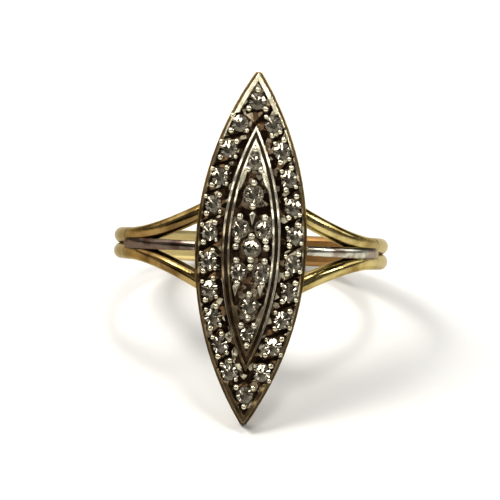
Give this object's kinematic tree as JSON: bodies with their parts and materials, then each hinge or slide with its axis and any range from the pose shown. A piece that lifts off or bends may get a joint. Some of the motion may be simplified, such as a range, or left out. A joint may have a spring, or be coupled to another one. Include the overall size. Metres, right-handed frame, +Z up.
{
  "type": "navette ring",
  "caption": "Finger ring with a long pointed plaque of small bead-set stones on a twin-wire yellow shank that forks at both shoulders round a white bar",
  "frame": {"origin": "Centre of the bottom of the bounding box, on the surface that the ring lies on", "axes": "The ring lies on its side as it would rest by itself: it leans on the lower tip of the plaque and on the back of the shank. +X runs across the plaque, from one shoulder of the shank to the other. -Y is the side to which the face of the plaque looks, tilted 31 degrees up from the horizontal. +Z is up."},
  "size_m": [0.0196, 0.0236, 0.0212],
  "materials": {
    "gold": "polished, worn yellow gold",
    "bar_metal": "polished white metal",
    "setting_metal": "tarnished white metal with bright worn edges",
    "centre_metal": "tarnished white metal with bright worn edges",
    "stone": "cut, clear"
  },
  "bodies": {
    "root": {"shank": "gold", "shoulder_bar_left": "bar_metal", "shoulder_bar_right": "bar_metal", "setting": "setting_metal", "centre_plaque": "centre_metal", "border_stone_1": "stone", "border_stone_2": "stone", "border_stone_3": "stone", "border_stone_4": "stone", "border_stone_5": "stone", "border_stone_6": "stone", "border_stone_7": "stone", "border_stone_8": "stone", "border_stone_9": "stone", "border_stone_10": "stone", "border_stone_11": "stone", "border_stone_12": "stone", "border_stone_13": "stone", "border_stone_14": "stone", "border_stone_15": "stone", "border_stone_16": "stone", "border_stone_17": "stone", "border_stone_18": "stone", "border_stone_19": "stone", "border_stone_20": "stone", "border_stone_21": "stone", "border_stone_22": "stone", "centre_stone_1": "stone", "centre_stone_2": "stone", "centre_stone_3": "stone", "centre_stone_4": "stone", "centre_stone_5": "stone", "centre_stone_6": "stone", "centre_stone_7": "stone", "centre_stone_8": "stone", "centre_stone_9": "stone"}
  },
  "joints": []
}
